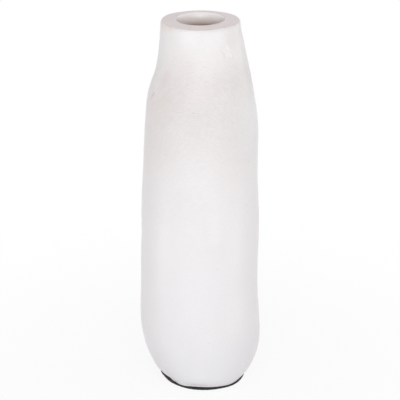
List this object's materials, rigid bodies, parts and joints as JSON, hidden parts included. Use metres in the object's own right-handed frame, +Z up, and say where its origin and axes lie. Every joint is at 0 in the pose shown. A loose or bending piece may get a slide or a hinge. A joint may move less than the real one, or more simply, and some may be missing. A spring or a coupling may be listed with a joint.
{
  "type": "terracotta vase",
  "caption": "Tall white-coated terracotta vase, hand-formed and slightly lopsided, with a rounded foot, short neck and thick flat rim, standing on a black felt pad.",
  "frame": {"origin": "on the table, under the middle of the vase's outline", "axes": "+Z up from the felt pad to the rim, -Y the front that the picture shows, +X to the right in it"},
  "size_m": [0.1306, 0.13, 0.4],
  "materials": {
    "terracotta": "matte",
    "white_coat": "matte",
    "adhesive": "satin",
    "felt": "matte"
  },
  "bodies": {
    "root": {"vessel": "terracotta", "white_coat": "white_coat", "pad_adhesive": "adhesive", "felt_pad": "felt"}
  },
  "joints": []
}
